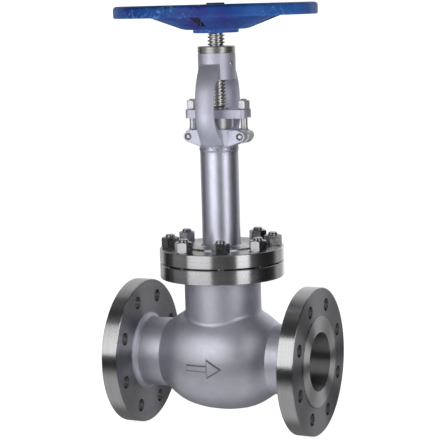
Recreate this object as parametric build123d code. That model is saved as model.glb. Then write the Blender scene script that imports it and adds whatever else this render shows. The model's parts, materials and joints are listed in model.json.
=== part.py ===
from build123d import *
import math
import os

# Frame: millimetres. The origin is the centre of the inlet flange's raised face,
# +X runs along the flow to the outlet and +Z runs up the stem.

# How far a cutter runs past the face it cuts.
MARGIN = 1.0

# Pipe ends: ASME B16.5 NPS 4 class 300, ASME B16.10 length.
FACE_TO_FACE = 356.0
STEM_X = FACE_TO_FACE / 2
FLANGE_R = 127.5
FLANGE_T = 30.2
RAISED_R = 78.6
RAISED_H = 1.6
PORT_R = 51.0
BOLT_COUNT = 8
BOLT_CIRCLE_R = 100.0
BOLT_HOLE_R = 11.1
HALF_PITCH_DEG = 180.0 / BOLT_COUNT
FLANGE_EDGE = 1.0
FACE_EDGE = 0.4

# Body casting.
HUB_R = 60.5
HUB_FOOT_R = 9.0
BARREL_OUTER = [(-99.5, 60.5), (-82.0, 71.5), (-58.0, 84.5), (-30.0, 91.2), (0.0, 93.3)]
BARREL_INNER = [(-99.5, 51.0), (-82.0, 60.5), (-58.0, 73.5), (-30.0, 80.5), (0.0, 82.8)]
BARREL_END_SLOPE = 0.45
BRIDGE_OVERLAP = 4.0
NECK_R = 66.5
NECK_BORE_R = 57.0
BODY_FLANGE_R = 108.0
BODY_FLANGE_Z = 142.5
BODY_FLANGE_TOP_Z = 167.5
GASKET_SEAT_R = 70.0
GASKET_SEAT_Z = 162.0
CAST_BLEND_R = 9.0
ARROW_L = 62.0
ARROW_W = 30.0
ARROW_SHAFT_W = 9.0
ARROW_HEAD_L = 24.0
ARROW_ROOT = 1.0
ARROW_H = 2.5
ARROW_Z = -4.0

# Bridge wall and seat.
SEAT_PLATE_Z = -6.0
SEAT_PLATE_TOP_Z = 14.0
SEAT_THREAD_R = 50.0
SEAT_RIM_R = 55.5
SEAT_RIM_TOP_Z = 20.0
SEAT_BORE_R = 45.0
SEAT_BEVEL = 4.0
BRIDGE_HALF_L = 72.0
BRIDGE_LEAN = 8.0
BRIDGE_T = 12.0
BRIDGE_REACH = 95.0

# Disc and the stem's head inside it.
LIFT = 24.0
RUN_GAP = 0.05
LOOSE_GAP = 0.3
DISC_R = 54.0
DISC_BOTTOM_Z = 15.0
DISC_CONE_Z = 22.0
DISC_RIM_Z = 25.0
DISC_RIM_TOP_Z = 38.0
DISC_SLOPE_Z = 42.0
DISC_SLOPE_R = 48.0
DISC_HUB_R = 32.0
DISC_TOP_Z = 62.0
DISC_POCKET_R = 24.0
DISC_POCKET_Z = 30.0
PAD_R = 23.0
PAD_T = 2.0
HEAD_R = 20.0
HEAD_T = 8.0
HEAD_EDGE = 2.0
DISC_NUT_AF = 56.0
DISC_NUT_HEX_T = 9.0

# Bonnet joint.
BONNET_R = 108.0
BONNET_FLANGE_Z = 170.0
BONNET_FLANGE_TOP_Z = 193.7
BONNET_BOSS_R = 62.0
BONNET_BOSS_TOP_Z = 196.3
TONGUE_R = 69.6
GASKET_T = 3.2
GASKET_R_IN = 58.0
STUD_COUNT = 8
STUD_CIRCLE_R = 89.0
STUD_R = 9.0
STUD_HOLE_R = 10.0
STUD_END_Z = 143.5
STUD_TIP = 5.0
STUD_CHAMFER = 1.5
STUD_NUT_AF = 27.0
STUD_NUT_H = 18.0
STUD_NUT_TOP_CHAMFER = 1.5
# Where each nut happened to stop when it was tightened.
STUD_NUT_TURNS_DEG = [8.0, 1.5, 20.0, 16.5, 13.5, 3.5, 31.5, 23.5]
BACKSEAT_R = 23.0
BACKSEAT_TOP_Z = 183.0
BACKSEAT_SHELF_R = 18.0
BACKSEAT_SHELF_Z = 187.0
BACKSEAT_CONE = 4.0

# Extension tube.
TUBE_R = 33.0
TUBE_BORE_R = 28.0
TUBE_TOP_Z = 366.0
WELD_LEG = 3.5
WELD_THROAT = 1.2
WELD_BEAD_R = 34.0
WELD_BEAD_H = 7.0
WELD_BEAD_SLOPE = 2.0
WELD_BEAD_CROWN = 3.0
WELD_BEAD_EDGE = 0.5

# Yoke, stuffing box and ears.
BOX_TOP_Z = 398.0
BOX_R = 33.0
BOX_BORE_R = 23.0
BOX_FLOOR_Z = 342.0
BOX_BOTTOM_Z = 336.0
ARM_SECTIONS = [  # outer y, outer z, inner y, inner z, half width, outer bulge, inner bulge
    (22.0, 507.5, 18.0, 483.0, 17.5, 1.5, 1.0),
    (37.0, 505.5, 33.0, 481.0, 17.5, 1.5, 2.0),
    (50.0, 486.0, 43.5, 473.0, 17.2, 3.0, 4.0),
    (58.5, 464.0, 49.5, 459.0, 17.2, 4.0, 4.5),
    (62.0, 440.0, 50.5, 440.0, 17.2, 4.8, 4.8),
    (61.5, 415.0, 48.5, 418.0, 17.2, 5.0, 5.0),
    (52.5, 394.0, 38.5, 403.0, 18.0, 5.0, 4.0),
    (41.0, 379.0, 27.0, 392.0, 19.5, 5.0, 2.0),
    (30.0, 366.0, 17.0, 378.0, 20.5, 5.0, 1.0),
]
YOKE_BOSS_R = 32.3
YOKE_BOSS_Z = 483.0
YOKE_BOSS_TOP_Z = 527.5
ARM_ROOT_CUT = 8.0
EAR_IN_Y = 11.0
EAR_OUT_Y = 22.0
EAR_R = 9.0
EAR_ROOT_X = 22.0
EAR_ROOT_Z = 367.0
EAR_TOP_Z = 397.5
EAR_TIP_LEAN = 2.0
EAR_CORNER_H = 2.5
EAR_CORNER_L = 6.0
EAR_EDGE = 0.7
EAR_SINK_R = 6.0
EAR_SINK = 1.6
PIN_X = 48.0
PIN_Z = 386.0
PIN_R = 4.0
PIN_EDGE = 1.4

# Packing, gland and swing bolts.
SPACER_T = 6.0
PACKING_COUNT = 5
PACKING_T = 8.0
PACKING_R = 22.95
GLAND_NOSE_R = 22.9
GLAND_COLLAR_R = 25.5
GLAND_COLLAR_Z = 400.5
GLAND_FLANGE_Z = 417.0
GLAND_SPIGOT_R = 18.0
GLAND_SPIGOT_H = 7.0
GLAND_FLANGE_T = 15.0
GLAND_FLANGE_HOLE_R = 18.2
GLAND_FLANGE_MID_R = 25.0
GLAND_FLANGE_HALF_L = 56.5
GLAND_FLANGE_END_W = 19.0
GLAND_FLANGE_CORNER_R = 10.0
GLAND_SLOT_W = 13.0
GLAND_FLANGE_EDGE = 0.8
EYE_R = 12.0
EYE_HALF_T = 10.5
EYEBOLT_R = 6.0
EYEBOLT_TOP_Z = 449.5
EYEBOLT_CHAMFER = 1.2
GLAND_NUT_AF = 19.0
GLAND_NUT_H = 14.5
GLAND_NUT_CHAMFER = 1.0

# Yoke bushing and its locking screw.
BUSHING_SPIGOT_R = 24.0
BUSHING_TOP_Z = 539.5
BUSHING_EDGE = 1.2
BUSHING_PROUD = 0.2
BUSHING_MOUTH = 1.0
SET_SCREW_R = 4.0
SET_SCREW_Z = 510.5
SET_SCREW_TURN_DEG = -15.0
SET_SCREW_IN = 21.0
SET_SCREW_OUT = 33.6
SET_SCREW_SOCKET_AF = 4.0
SET_SCREW_SOCKET_DEPTH = 4.0

# Stem. The thread is drawn at its pitch radius (Tr 30x6).
STEM_R = 15.0
THREAD_PITCH_R = 13.5
THREAD_START_Z = 433.0
THREAD_RUNOUT = 1.5
STEM_TIP_R = 8.0
STEM_NECK_R = 11.0
STEM_END_R = 10.0
STEM_END_CHAMFER = 1.5
STEM_END_DROP = 0.5
STEM_NECK_STEP = 1.0

# Handwheel and its fixing.
WHEEL_R = 174.5
RIM_Z = 591.5
RIM_TOP_Z = 610.5
RIM_IN_R = 144.0
RIM_WALL = 4.0
RIM_LIP_Z = 596.0
RIM_ROUND = 5.0
WEB_T = 4.0
WEB_Z = 568.0
WEB_FLAT_R = 55.0
WEB_RISE = 0.377
WHEEL_HUB_R = 39.0
WHEEL_HUB_Z = 562.0
WHEEL_HUB_LAP = 1.0
WHEEL_SLEEVE_R = 26.0
WHEEL_HUB_TOP_Z = 592.0
SLOT_COUNT = 4
SLOT_TURN_DEG = 4.0
SLOT_IN_R = 60.0
SLOT_OUT_R = 138.0
SLOT_HALF_DEG = 5.8
SLOT_CORNER_R = 4.0
KEY_W = 6.0
KEY_Z = 564.0
KEY_TOP_Z = 590.0
KEY_IN_R = 7.5
KEY_OUT_R = 13.8
WASHER_R = 19.0
WASHER_HOLE_R = 10.5
WASHER_T = 3.0
WHEEL_NUT_AF = 30.0
WHEEL_NUT_H = 18.0
WHEEL_NUT_CHAMFER = 1.6

# Derived heights and radii.
TONGUE_Z = GASKET_SEAT_Z + GASKET_T
STUD_NUT_TOP_Z = BONNET_FLANGE_TOP_Z + STUD_NUT_H
HEAD_Z = DISC_POCKET_Z + PAD_T + RUN_GAP
HEAD_TOP_Z = HEAD_Z + HEAD_T
PACKING_Z = BOX_FLOOR_Z + SPACER_T
PACKING_TOP_Z = PACKING_Z + PACKING_COUNT * PACKING_T
GLAND_FLANGE_TOP_Z = GLAND_FLANGE_Z + GLAND_FLANGE_T
GLAND_NUT_Z = GLAND_FLANGE_TOP_Z + LOOSE_GAP
WHEEL_NUT_Z = WHEEL_HUB_TOP_Z + WASHER_T
WHEEL_NUT_TOP_Z = WHEEL_NUT_Z + WHEEL_NUT_H
BACKSEAT_SHOULDER_Z = TONGUE_Z - LIFT - 2 * RUN_GAP
STEM_X_AXIS = Axis((STEM_X, 0, 0), (0, 0, 1))


def turned(points):
    """Solid of revolution about the stem axis from a closed (radius, z) outline."""
    shifted = [(STEM_X + r, z) for r, z in points]
    return revolve(Plane.XZ * make_face(Polyline(shifted, close=True)), STEM_X_AXIS)


def drum(radius, z_low, z_high):
    """Cylinder on the stem axis."""
    return turned([(0, z_low), (radius, z_low), (radius, z_high), (0, z_high)])


def edged_drum(radius, z_low, z_high, edge):
    """Cylinder on the stem axis with both outer edges chamfered."""
    return turned([(0, z_low), (radius - edge, z_low), (radius, z_low + edge),
                   (radius, z_high - edge), (radius - edge, z_high), (0, z_high)])


def ring(r_in, r_out, z_low, z_high):
    """Plain ring on the stem axis."""
    return turned([(r_in, z_low), (r_out, z_low), (r_out, z_high), (r_in, z_high)])


def around_stem(shape, count, start_deg):
    """Copies of a shape spaced evenly about the stem axis."""
    step = 360.0 / count
    return [shape.rotate(STEM_X_AXIS, start_deg + step * k) for k in range(count)]


def nut(across_flats, bore_r, z_low, height, chamfer_h, both_ends=False):
    """Hexagon nut about the Z axis with turned corners."""
    corner_r = across_flats / math.sqrt(3)
    flat_r = across_flats / 2
    low_r = flat_r if both_ends else corner_r
    low_h = chamfer_h if both_ends else 0.0
    hexagon = extrude(RegularPolygon(corner_r, 6), height)
    outline = [(0, 0), (low_r, 0)]
    if both_ends:
        outline.append((corner_r, low_h))
    outline += [(corner_r, height - chamfer_h), (flat_r, height), (0, height)]
    turning = revolve(Plane.XZ * make_face(Polyline(outline, close=True)), Axis.Z)
    bored = (hexagon & turning) - Pos(0, 0, height / 2) * Cylinder(bore_r, height)
    return Pos(0, 0, z_low) * bored


def half_profile(points, r_axis):
    """Flow-axis outline, inlet to mid, closed down to r_axis and mirrored to the outlet."""
    curve = Spline([(STEM_X + x, r) for x, r in points], tangents=[(1, BARREL_END_SLOPE), (1, 0)])
    inlet_edge = Polyline([(STEM_X + points[0][0], points[0][1]), (STEM_X + points[0][0], r_axis),
                           (STEM_X, r_axis), (STEM_X, points[-1][1])])
    half = make_face(curve + inlet_edge)
    return half + mirror(half, about=Plane.YZ.offset(STEM_X))


def along_flow(points):
    """Solid of revolution about the flow axis from a closed (x, radius) outline."""
    return revolve(Plane.XZ * make_face(Polyline(points, close=True)), Axis.X)


def barrel(points, grow=0.0):
    """Globe-shaped middle of the body, grown outwards by grow."""
    grown = [(x, r + grow) for x, r in points]
    return revolve(Plane.XZ * half_profile(grown, 0.0), Axis.X)


def end_connection():
    """Inlet flange with its raised face and hub."""
    barrel_x = STEM_X + BARREL_OUTER[0][0]
    flange = along_flow([(0, 0), (0, RAISED_R - FACE_EDGE), (FACE_EDGE, RAISED_R),
                         (RAISED_H, RAISED_R), (RAISED_H, FLANGE_R - FLANGE_EDGE),
                         (RAISED_H + FLANGE_EDGE, FLANGE_R), (FLANGE_T - FLANGE_EDGE, FLANGE_R),
                         (FLANGE_T, FLANGE_R - FLANGE_EDGE), (FLANGE_T, HUB_R),
                         (barrel_x, HUB_R), (barrel_x, 0)])
    foot = flange.edges().filter_by(GeomType.CIRCLE).filter_by(
        lambda e: abs(e.radius - HUB_R) < FACE_EDGE and e.arc_center.X < FLANGE_T + FACE_EDGE)
    flange = fillet(foot, HUB_FOOT_R)
    for k in range(BOLT_COUNT):
        turn = HALF_PITCH_DEG + 2 * HALF_PITCH_DEG * k
        hole = Rot(turn, 0, 0) * Pos(FLANGE_T / 2, 0, BOLT_CIRCLE_R) * Rot(0, 90, 0)
        flange -= hole * Cylinder(BOLT_HOLE_R, 2 * FLANGE_T)
    return flange


def flow_space():
    """Everything the fluid fills between the two raised faces, bridge wall left out."""
    barrel_x = STEM_X + BARREL_INNER[0][0]
    port = along_flow([(-MARGIN, 0), (-MARGIN, PORT_R + FACE_EDGE + MARGIN),
                       (FACE_EDGE, PORT_R), (barrel_x + MARGIN, PORT_R),
                       (barrel_x + MARGIN, 0)])
    return port + barrel(BARREL_INNER) + mirror(port, about=Plane.YZ.offset(STEM_X))


def bridge_wall():
    """S-shaped wall that carries the seat and parts the inlet side from the outlet side."""
    left = -BRIDGE_HALF_L
    right = BRIDGE_HALF_L
    outline = [(left - BRIDGE_LEAN, BRIDGE_REACH), (left, SEAT_PLATE_Z),
               (right - BRIDGE_T, SEAT_PLATE_Z),
               (right - BRIDGE_T + BRIDGE_LEAN, -BRIDGE_REACH),
               (right + BRIDGE_LEAN, -BRIDGE_REACH), (right, SEAT_PLATE_TOP_Z),
               (left + BRIDGE_T, SEAT_PLATE_TOP_Z),
               (left + BRIDGE_T - BRIDGE_LEAN, BRIDGE_REACH)]
    face = make_face(Polyline([(STEM_X + x, z) for x, z in outline], close=True))
    slab = extrude(Plane.XZ * face, BRIDGE_REACH, both=True)
    return slab & barrel(BARREL_INNER, BRIDGE_OVERLAP)


def flow_arrow():
    """Raised plain arrow on the body's side that shows the flow direction."""
    half_l = ARROW_L / 2
    half_w = ARROW_W / 2
    half_s = ARROW_SHAFT_W / 2
    head_x = half_l - ARROW_HEAD_L
    outline = [(-half_l, -half_s), (head_x, -half_s), (head_x, -half_w), (half_l, 0),
               (head_x, half_w), (head_x, half_s), (-half_l, half_s)]
    face = make_face(Polyline(outline, close=True))
    bar = Pos(STEM_X, 0, ARROW_Z) * extrude(Plane.XZ * face, 2 * NECK_R)
    return bar & (barrel(BARREL_OUTER, ARROW_H) - barrel(BARREL_OUTER, -ARROW_ROOT))


def body():
    """Hollow body casting with both pipe flanges and the bonnet flange."""
    inlet = end_connection()
    neck = drum(NECK_R, 0, BODY_FLANGE_Z)
    shell = barrel(BARREL_OUTER) + neck
    crease = [e for e in shell.edges() if HUB_R < e.center().Z < BODY_FLANGE_Z - MARGIN
              and e.bounding_box().size.Y > MARGIN]
    shell = fillet(crease, CAST_BLEND_R)
    shell += edged_drum(BODY_FLANGE_R, BODY_FLANGE_Z, BODY_FLANGE_TOP_Z, FLANGE_EDGE)
    under = [e for e in shell.edges() if e.center().Z < BODY_FLANGE_Z + FACE_EDGE
             and NECK_R < e.bounding_box().size.X < 2 * NECK_R + MARGIN
             and e.center().Z > BODY_FLANGE_Z - FACE_EDGE]
    shell = fillet(under, CAST_BLEND_R)
    shell += inlet + mirror(inlet, about=Plane.YZ.offset(STEM_X)) + flow_arrow()
    shell -= flow_space()
    shell += bridge_wall()
    shell -= drum(NECK_BORE_R, SEAT_PLATE_TOP_Z, BODY_FLANGE_TOP_Z + MARGIN)
    shell -= drum(GASKET_SEAT_R, GASKET_SEAT_Z, BODY_FLANGE_TOP_Z + MARGIN)
    shell -= drum(SEAT_THREAD_R, SEAT_PLATE_Z - MARGIN, SEAT_PLATE_TOP_Z + MARGIN)
    tapping = Pos(STEM_X + STUD_CIRCLE_R, 0, BODY_FLANGE_Z) * Cylinder(STUD_R, BODY_FLANGE_Z)
    for hole in around_stem(tapping, STUD_COUNT, HALF_PITCH_DEG):
        shell -= hole & drum(BODY_FLANGE_R, BODY_FLANGE_Z - MARGIN, BODY_FLANGE_TOP_Z + MARGIN)
    return shell


def seat_ring():
    """Seat ring screwed into the bridge wall."""
    return turned([(SEAT_BORE_R, SEAT_PLATE_Z), (SEAT_THREAD_R, SEAT_PLATE_Z),
                   (SEAT_THREAD_R, SEAT_PLATE_TOP_Z), (SEAT_RIM_R, SEAT_PLATE_TOP_Z),
                   (SEAT_RIM_R, SEAT_RIM_TOP_Z), (SEAT_BORE_R + SEAT_BEVEL, SEAT_RIM_TOP_Z),
                   (SEAT_BORE_R, SEAT_RIM_TOP_Z - SEAT_BEVEL)])


def disc():
    """Disc with a bevelled seating edge and a pocket for the stem's head."""
    cone_offset = SEAT_BORE_R - SEAT_RIM_TOP_Z + SEAT_BEVEL - 2 * RUN_GAP
    return turned([(0, DISC_BOTTOM_Z), (DISC_BOTTOM_Z + cone_offset, DISC_BOTTOM_Z),
                   (DISC_CONE_Z + cone_offset, DISC_CONE_Z), (DISC_R, DISC_RIM_Z),
                   (DISC_R, DISC_RIM_TOP_Z), (DISC_SLOPE_R, DISC_SLOPE_Z),
                   (DISC_HUB_R, DISC_SLOPE_Z), (DISC_HUB_R, DISC_TOP_Z),
                   (DISC_POCKET_R, DISC_TOP_Z), (DISC_POCKET_R, DISC_POCKET_Z),
                   (0, DISC_POCKET_Z)])


def disc_thrust_pad():
    """Hardened pad the stem's head pushes on."""
    return drum(PAD_R, DISC_POCKET_Z, DISC_POCKET_Z + PAD_T)


def disc_nut():
    """Nut screwed into the disc that keeps the stem's head in the pocket."""
    bore = STEM_R + LOOSE_GAP
    sleeve = ring(bore, DISC_POCKET_R, HEAD_TOP_Z + RUN_GAP, DISC_TOP_Z)
    hexagon = nut(DISC_NUT_AF, bore, DISC_TOP_Z, DISC_NUT_HEX_T, STUD_NUT_TOP_CHAMFER)
    return sleeve + Pos(STEM_X, 0, 0) * hexagon


def stem():
    """Rotating rising stem: head, backseat shoulder, plain shank, thread and wheel end."""
    shoulder_top = BACKSEAT_SHOULDER_Z + BACKSEAT_CONE
    shoulder_r = STEM_R + BACKSEAT_CONE
    end_z = WHEEL_NUT_TOP_Z - STEM_END_DROP
    shaft = turned([(0, HEAD_Z), (STEM_TIP_R, HEAD_Z), (HEAD_R, HEAD_Z + HEAD_EDGE),
                    (HEAD_R, HEAD_TOP_Z),
                    (STEM_R, HEAD_TOP_Z), (STEM_R, BACKSEAT_SHOULDER_Z - 2 * BACKSEAT_CONE),
                    (shoulder_r, BACKSEAT_SHOULDER_Z - BACKSEAT_CONE),
                    (shoulder_r, BACKSEAT_SHOULDER_Z), (STEM_R, shoulder_top),
                    (STEM_R, THREAD_START_Z - THREAD_RUNOUT), (THREAD_PITCH_R, THREAD_START_Z),
                    (THREAD_PITCH_R, WHEEL_HUB_Z), (STEM_NECK_R, WHEEL_HUB_Z),
                    (STEM_NECK_R, WHEEL_HUB_TOP_Z - STEM_NECK_STEP),
                    (STEM_END_R, WHEEL_HUB_TOP_Z), (STEM_END_R, end_z - STEM_END_CHAMFER),
                    (STEM_END_R - STEM_END_CHAMFER, end_z), (0, end_z)])
    return shaft - key_block()


def backseat_bushing():
    """Bushing in the bonnet flange that guides the stem and seals on its shoulder."""
    bore = STEM_R + RUN_GAP
    return turned([(bore + BACKSEAT_CONE, TONGUE_Z), (BACKSEAT_R, TONGUE_Z),
                   (BACKSEAT_R, BACKSEAT_TOP_Z), (bore, BACKSEAT_TOP_Z),
                   (bore, TONGUE_Z + BACKSEAT_CONE)])


def bonnet_gasket():
    """Flat ring gasket held in the body's recess."""
    return ring(GASKET_R_IN, TONGUE_R, GASKET_SEAT_Z, TONGUE_Z)


def bonnet_flange():
    """Bonnet flange with its tongue below and the tube's boss above."""
    flange = turned([(BACKSEAT_R, TONGUE_Z), (TONGUE_R, TONGUE_Z), (TONGUE_R, BONNET_FLANGE_Z),
                     (BONNET_R - FLANGE_EDGE, BONNET_FLANGE_Z),
                     (BONNET_R, BONNET_FLANGE_Z + FLANGE_EDGE),
                     (BONNET_R, BONNET_FLANGE_TOP_Z - FLANGE_EDGE),
                     (BONNET_R - FLANGE_EDGE, BONNET_FLANGE_TOP_Z),
                     (BONNET_BOSS_R, BONNET_FLANGE_TOP_Z),
                     (BONNET_BOSS_R, BONNET_BOSS_TOP_Z - FLANGE_EDGE),
                     (BONNET_BOSS_R - FLANGE_EDGE, BONNET_BOSS_TOP_Z),
                     (TUBE_BORE_R, BONNET_BOSS_TOP_Z), (TUBE_BORE_R, BACKSEAT_SHELF_Z),
                     (BACKSEAT_SHELF_R, BACKSEAT_SHELF_Z), (BACKSEAT_SHELF_R, BACKSEAT_TOP_Z),
                     (BACKSEAT_R, BACKSEAT_TOP_Z)])
    clearance = Pos(STEM_X + STUD_CIRCLE_R, 0, BONNET_FLANGE_Z) * Cylinder(STUD_HOLE_R, 2 * FLANGE_R)
    for hole in around_stem(clearance, STUD_COUNT, HALF_PITCH_DEG):
        flange -= hole & drum(BONNET_R, BONNET_FLANGE_Z - MARGIN, BONNET_BOSS_TOP_Z)
    return flange


def bonnet_studs():
    """Studs screwed into the body flange."""
    tip_z = STUD_NUT_TOP_Z + STUD_TIP
    outline = [(0, STUD_END_Z), (STUD_R, STUD_END_Z), (STUD_R, tip_z - STUD_CHAMFER),
               (STUD_R - STUD_CHAMFER, tip_z), (0, tip_z)]
    stud = revolve(Plane.XZ * make_face(Polyline(outline, close=True)), Axis.Z)
    placed = Pos(STEM_X + STUD_CIRCLE_R, 0, 0) * stud
    return Compound(children=around_stem(placed, STUD_COUNT, HALF_PITCH_DEG))


def bonnet_nuts():
    """Nuts on the studs, all on top of the bonnet flange."""
    one = nut(STUD_NUT_AF, STUD_R, BONNET_FLANGE_TOP_Z, STUD_NUT_H, STUD_NUT_TOP_CHAMFER, True)
    nuts = []
    for k, turn in enumerate(STUD_NUT_TURNS_DEG):
        placed = Pos(STEM_X + STUD_CIRCLE_R, 0, 0) * Rot(0, 0, turn) * one
        nuts.append(placed.rotate(STEM_X_AXIS, HALF_PITCH_DEG * (2 * k + 1)))
    return Compound(children=nuts)


def extension_tube():
    """Long tube that keeps the packing away from the cold body, with its two welds."""
    bead_low = TUBE_TOP_Z - WELD_BEAD_H
    return turned([(TUBE_BORE_R, BONNET_BOSS_TOP_Z), (TUBE_R + WELD_LEG, BONNET_BOSS_TOP_Z),
                   (TUBE_R + WELD_THROAT, BONNET_BOSS_TOP_Z + WELD_THROAT),
                   (TUBE_R, BONNET_BOSS_TOP_Z + WELD_LEG), (TUBE_R, bead_low),
                   (WELD_BEAD_R - WELD_BEAD_EDGE, bead_low + WELD_BEAD_SLOPE),
                   (WELD_BEAD_R, TUBE_TOP_Z - WELD_BEAD_CROWN),
                   (WELD_BEAD_R, TUBE_TOP_Z), (TUBE_BORE_R, TUBE_TOP_Z)])


def arm_section(outer_y, outer_z, inner_y, inner_z, half_w, front_bulge, back_bulge):
    """Section of the yoke arm, bulged on its outer and inner faces."""
    half_t = math.hypot(outer_y - inner_y, outer_z - inner_z) / 2
    middle = (0, (outer_y + inner_y) / 2, (outer_z + inner_z) / 2)
    normal = (0, outer_z - inner_z, inner_y - outer_y)
    front_z = half_t - front_bulge
    back_z = back_bulge - half_t
    front = ThreePointArc((-half_w, front_z), (0, half_t), (half_w, front_z))
    back = ThreePointArc((half_w, back_z), (0, -half_t), (-half_w, back_z))
    sides = Line((half_w, front_z), (half_w, back_z)) + Line((-half_w, back_z), (-half_w, front_z))
    return Plane(origin=middle, x_dir=(-1, 0, 0), z_dir=normal) * make_face(front + back + sides)


def yoke_arm():
    """One yoke arm on the +Y side."""
    return Pos(STEM_X, 0, 0) * loft([arm_section(*row) for row in ARM_SECTIONS])


def ear_pair(side):
    """Two ears that hold one swing bolt; side is -1 for the inlet side, 1 for the outlet side."""
    root_x = side * EAR_ROOT_X
    tip_x = side * PIN_X
    plate = make_face(Polyline([(root_x, EAR_ROOT_Z),
                                (tip_x + side * EAR_TIP_LEAN, PIN_Z - EAR_R),
                                (tip_x, EAR_TOP_Z - EAR_CORNER_H),
                                (tip_x - side * EAR_CORNER_L, EAR_TOP_Z),
                                (root_x, EAR_TOP_Z)], close=True))
    plate += Pos(tip_x, PIN_Z) * Circle(EAR_R)
    ear = extrude(Plane.XZ * plate, EAR_OUT_Y - EAR_IN_Y)
    ear = chamfer(ear.faces().sort_by(Axis.Y)[0].edges(), EAR_EDGE)
    hole = Pos(tip_x, 0, PIN_Z) * Rot(90, 0, 0) * Cylinder(PIN_R, 2 * EAR_OUT_Y)
    sink_y = EAR_OUT_Y - EAR_IN_Y
    sink = Pos(tip_x, -sink_y, PIN_Z) * Rot(90, 0, 0) * Cylinder(EAR_SINK_R, 2 * EAR_SINK)
    front = Pos(0, -EAR_IN_Y, 0) * (ear - hole - sink)
    return [Pos(STEM_X, 0, 0) * one for one in (front, mirror(front, about=Plane.XZ))]


def yoke():
    """Yoke casting: stuffing box, ears, two arms and the top boss."""
    frame = drum(BOX_R, TUBE_TOP_Z, BOX_TOP_Z) + drum(YOKE_BOSS_R, YOKE_BOSS_Z, YOKE_BOSS_TOP_Z)
    arm = yoke_arm()
    arms = arm + mirror(arm, about=Plane.XZ)
    frame += arms & drum(2 * BOX_R, TUBE_TOP_Z, YOKE_BOSS_TOP_Z)
    for side in (-1, 1):
        for ear in ear_pair(side):
            frame += ear
    frame += drum(TUBE_BORE_R, BOX_BOTTOM_Z, TUBE_TOP_Z)
    frame -= drum(STEM_R + LOOSE_GAP, BOX_BOTTOM_Z - MARGIN, BOX_TOP_Z + MARGIN)
    frame -= drum(BOX_BORE_R, BOX_FLOOR_Z, BOX_TOP_Z + MARGIN)
    frame -= drum(BUSHING_SPIGOT_R, YOKE_BOSS_Z - ARM_ROOT_CUT, YOKE_BOSS_TOP_Z + MARGIN)
    return frame - set_screw_blank(SET_SCREW_R)


def set_screw_blank(radius):
    """Plain radial cylinder for the locking screw and its hole."""
    length = SET_SCREW_OUT - SET_SCREW_IN
    middle = (SET_SCREW_OUT + SET_SCREW_IN) / 2
    blank = Pos(STEM_X + middle, 0, SET_SCREW_Z) * Rot(0, 90, 0) * Cylinder(radius, length)
    return blank.rotate(STEM_X_AXIS, SET_SCREW_TURN_DEG)


def bushing_set_screw():
    """Socket set screw that locks the yoke bushing."""
    depth = SET_SCREW_SOCKET_DEPTH
    socket = extrude(RegularPolygon(SET_SCREW_SOCKET_AF / math.sqrt(3), 6), depth)
    placed = Pos(STEM_X + SET_SCREW_OUT - depth, 0, SET_SCREW_Z) * Rot(0, 90, 0) * socket
    return set_screw_blank(SET_SCREW_R) - placed.rotate(STEM_X_AXIS, SET_SCREW_TURN_DEG)


def yoke_bushing():
    """Threaded bushing that carries the stem, with its collar on top of the boss."""
    bore = THREAD_PITCH_R + RUN_GAP
    top_r = YOKE_BOSS_R + BUSHING_PROUD
    sleeve = turned([(bore, YOKE_BOSS_Z), (BUSHING_SPIGOT_R, YOKE_BOSS_Z),
                     (BUSHING_SPIGOT_R, YOKE_BOSS_TOP_Z), (top_r, YOKE_BOSS_TOP_Z),
                     (top_r, BUSHING_TOP_Z - BUSHING_EDGE), (top_r - BUSHING_EDGE, BUSHING_TOP_Z),
                     (bore + BUSHING_MOUTH, BUSHING_TOP_Z), (bore, BUSHING_TOP_Z - BUSHING_MOUTH)])
    return sleeve - set_screw_blank(SET_SCREW_R)


def packing_spacer():
    """Metal ring under the packing."""
    return ring(STEM_R + LOOSE_GAP, PACKING_R, BOX_FLOOR_Z, PACKING_Z)


def packing_rings():
    """Stack of square packing rings."""
    one = ring(STEM_R + RUN_GAP, PACKING_R, PACKING_Z, PACKING_Z + PACKING_T)
    return Compound(children=[Pos(0, 0, PACKING_T * k) * one for k in range(PACKING_COUNT)])


def gland():
    """Gland follower that presses the packing."""
    bore = STEM_R + LOOSE_GAP
    return turned([(bore, PACKING_TOP_Z), (GLAND_NOSE_R, PACKING_TOP_Z),
                   (GLAND_NOSE_R, GLAND_COLLAR_Z), (GLAND_COLLAR_R, GLAND_COLLAR_Z),
                   (GLAND_COLLAR_R, GLAND_FLANGE_Z), (GLAND_SPIGOT_R, GLAND_FLANGE_Z),
                   (GLAND_SPIGOT_R, GLAND_FLANGE_Z + GLAND_SPIGOT_H),
                   (bore, GLAND_FLANGE_Z + GLAND_SPIGOT_H)])


def gland_flange():
    """Lozenge-shaped flange that pulls the gland down, with open slots for the swing bolts."""
    corner_x = GLAND_FLANGE_HALF_L - GLAND_FLANGE_CORNER_R
    corner_y = GLAND_FLANGE_END_W - GLAND_FLANGE_CORNER_R
    outline = Circle(GLAND_FLANGE_MID_R)
    for x in (-corner_x, corner_x):
        for y in (-corner_y, corner_y):
            outline += Pos(x, y) * Circle(GLAND_FLANGE_CORNER_R)
    face = make_hull(outline.edges())
    face -= Circle(GLAND_FLANGE_HOLE_R)
    for side in (-1, 1):
        slot_l = 2 * (GLAND_FLANGE_HALF_L - PIN_X)
        face -= Pos(side * PIN_X, 0) * Circle(GLAND_SLOT_W / 2)
        face -= Pos(side * (PIN_X + slot_l / 2), 0) * Rectangle(slot_l, GLAND_SLOT_W)
    plate = extrude(face, GLAND_FLANGE_T)
    plate = chamfer(plate.faces().sort_by(Axis.Z)[-1].outer_wire().edges(), GLAND_FLANGE_EDGE)
    return Pos(STEM_X, 0, GLAND_FLANGE_Z) * plate


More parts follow.
